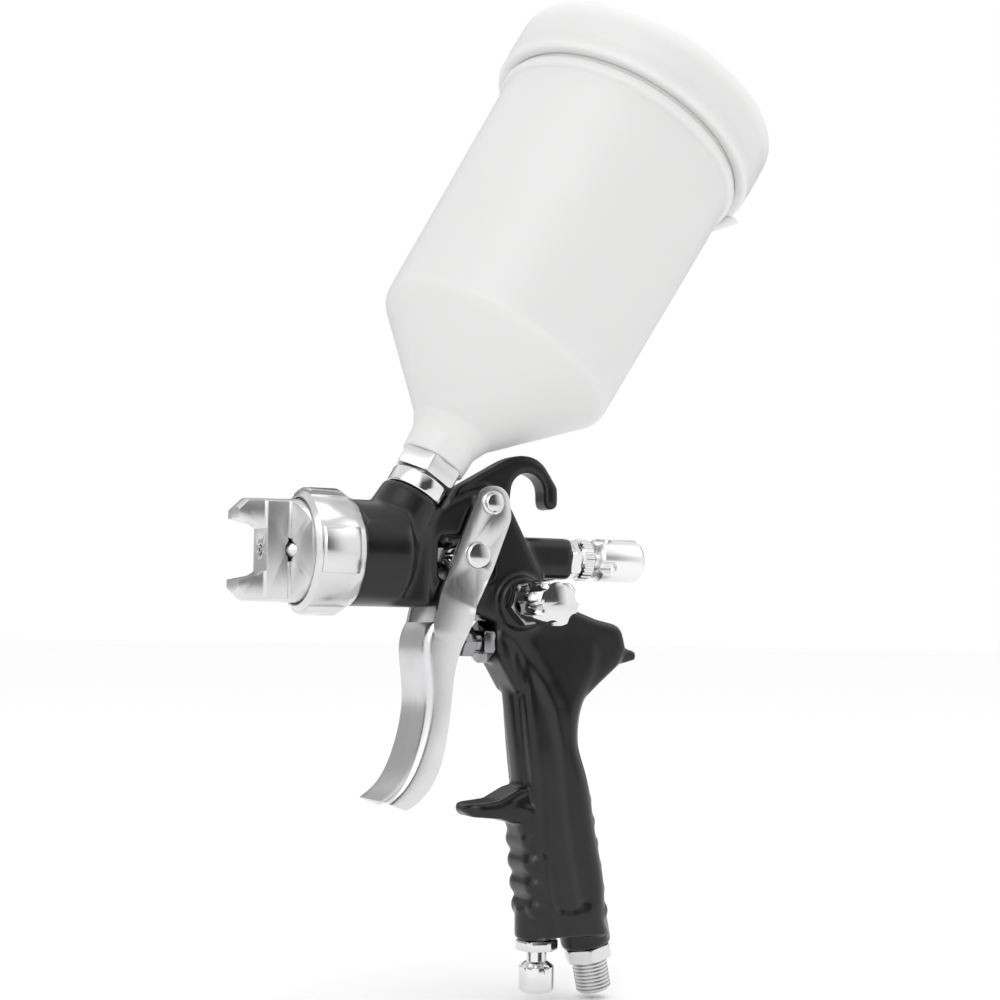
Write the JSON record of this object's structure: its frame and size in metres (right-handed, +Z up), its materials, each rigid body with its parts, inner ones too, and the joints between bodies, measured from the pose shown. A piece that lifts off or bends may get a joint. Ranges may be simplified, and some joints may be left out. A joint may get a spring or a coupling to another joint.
{
  "type": "gravity-feed paint spray gun",
  "caption": "Hand-held gravity-feed spray gun with a swing trigger, horned air cap, three adjusting knobs, hanging hook and a lidded paint cup.",
  "frame": {"origin": "centre of the air inlet thread's lowest crest", "axes": "+Z up, sprays towards -X, -Y is the user's left side, where the pattern knob is"},
  "size_m": [0.2132, 0.1096, 0.3756],
  "materials": {
    "body_paint": "satin black coating on cast aluminium",
    "nickel": "satin nickel",
    "bright_ring": "bright turned nickel",
    "bright_chrome": "bright chrome",
    "trigger_chrome": "soft polished chrome",
    "satin_knob": "satin",
    "steel": "ground stainless",
    "seal": "matt",
    "strainer_plastic": "matt",
    "nylon": "translucent white nylon"
  },
  "bodies": {
    "root": {"gun_body": "body_paint", "fluid_nozzle": "nickel", "nozzle_seal": "seal", "baffle_ring": "nickel", "needle_packing": "seal", "needle_packing_nut": "steel", "needle_spring": "steel", "guide_screw": "bright_chrome", "trigger_pin": "bright_chrome", "pin_circlip": "steel", "valve_housing": "bright_chrome", "valve_packing_nut": "bright_chrome", "valve_packing": "seal", "valve_seat": "seal", "valve_spring": "steel", "fan_valve_nut": "bright_chrome", "air_valve_nut": "bright_chrome", "air_inlet": "nickel", "cup_joint": "bright_chrome", "cup_nut": "nickel", "cup": "nylon", "paint_strainer": "strainer_plastic"},
    "air_cap": {"air_cap": "nickel"},
    "retaining_ring": {"retaining_ring": "bright_ring"},
    "trigger": {"trigger": "trigger_chrome"},
    "trigger_bar": {"trigger_bar": "bright_chrome"},
    "needle": {"needle": "steel"},
    "valve_stem": {"valve_stem": "steel"},
    "needle_stop": {"spring_seat": "steel"},
    "fluid_knob": {"fluid_knob": "satin_knob"},
    "lock_ring": {"lock_ring": "bright_chrome"},
    "fan_travel": {"fan_spindle_seal": "seal"},
    "fan_knob": {"fan_knob": "bright_chrome"},
    "air_travel": {"air_spindle_seal": "seal"},
    "air_knob": {"air_knob": "bright_chrome"},
    "lid": {"lid": "nylon"},
    "vent_cap": {"vent_cap": "nylon"}
  },
  "joints": [
    {"name": "trigger_pull", "type": "hinge", "parent": "root", "child": "trigger", "pos_m": [-0.0519, 0, 0.1806], "axis": [0, -1, 0], "range_deg": [0, 10], "stiffness_Nm_per_rad": 2, "springref_deg": -17.19},
    {"name": "bar_swivel", "type": "hinge", "parent": "trigger", "child": "trigger_bar", "pos_m": [-0.0577, 0, 0.1612], "axis": [0, -1, 0], "range_deg": [-10, 0]},
    {"name": "needle_travel", "type": "slide", "parent": "root", "child": "needle", "axis": [1, 0, 0], "range_m": [0, 0.0024], "deforming": ["needle_spring"]},
    {"name": "air_valve_travel", "type": "slide", "parent": "root", "child": "valve_stem", "axis": [1, 0, 0], "range_m": [0, 0.0098], "deforming": ["valve_spring"]},
    {"name": "needle_stop_travel", "type": "slide", "parent": "root", "child": "needle_stop", "axis": [-1, 0, 0], "range_m": [0, 0.0024]},
    {"name": "fluid_knob_turn", "type": "hinge", "parent": "needle_stop", "child": "fluid_knob", "pos_m": [0.0063, 0, 0.1612], "axis": [-1, 0, 0], "range_deg": [0, 864]},
    {"name": "lock_ring_turn", "type": "hinge", "parent": "root", "child": "lock_ring", "pos_m": [-0.0077, 0, 0.1612], "axis": [-1, 0, 0], "range_deg": [-90, 0]},
    {"name": "fan_knob_travel", "type": "slide", "parent": "root", "child": "fan_travel", "axis": [0, 1, 0], "range_m": [0, 0.0022]},
    {"name": "fan_knob_turn", "type": "hinge", "parent": "fan_travel", "child": "fan_knob", "pos_m": [-0.0377, -0.025, 0.1442], "axis": [0, 1, 0], "range_deg": [0, 792]},
    {"name": "air_knob_travel", "type": "slide", "parent": "root", "child": "air_travel", "axis": [0, 0, 1], "range_m": [0, 0.0035]},
    {"name": "air_knob_turn", "type": "hinge", "parent": "air_travel", "child": "air_knob", "pos_m": [-0.0248, 0, 0.0062], "axis": [0, 0, 1], "range_deg": [0, 1260]},
    {"name": "retaining_ring_turn", "type": "hinge", "parent": "root", "child": "retaining_ring", "pos_m": [-0.1137, 0, 0.1612], "axis": [-1, 0, 0], "range_deg": [-60, 0]},
    {"name": "air_cap_turn", "type": "hinge", "parent": "root", "child": "air_cap", "pos_m": [-0.1287, 0, 0.1612], "axis": [1, 0, 0], "range_deg": [-90, 90]},
    {"name": "lid_lift", "type": "slide", "parent": "root", "child": "lid", "axis": [0.518, 0, 0.8554], "range_m": [0, 0.03]},
    {"name": "vent_cap_turn", "type": "hinge", "parent": "lid", "child": "vent_cap", "pos_m": [0.01884, 0, 0.34339], "axis": [0.518, 0, 0.8554], "range_deg": [0, 90]}
  ],
  "couplings": [
    {"joint": "bar_swivel", "follows": "trigger_pull", "ratio": -1},
    {"joint": "needle_travel", "follows": "trigger_pull", "m_per_rad": 0.013694},
    {"joint": "air_valve_travel", "follows": "trigger_pull", "m_per_rad": 0.056093},
    {"joint": "needle_stop_travel", "follows": "fluid_knob_turn", "m_per_rad": 0.00015915},
    {"joint": "fan_knob_travel", "follows": "fan_knob_turn", "m_per_rad": 0.00015915},
    {"joint": "air_knob_travel", "follows": "air_knob_turn", "m_per_rad": 0.00015915}
  ]
}
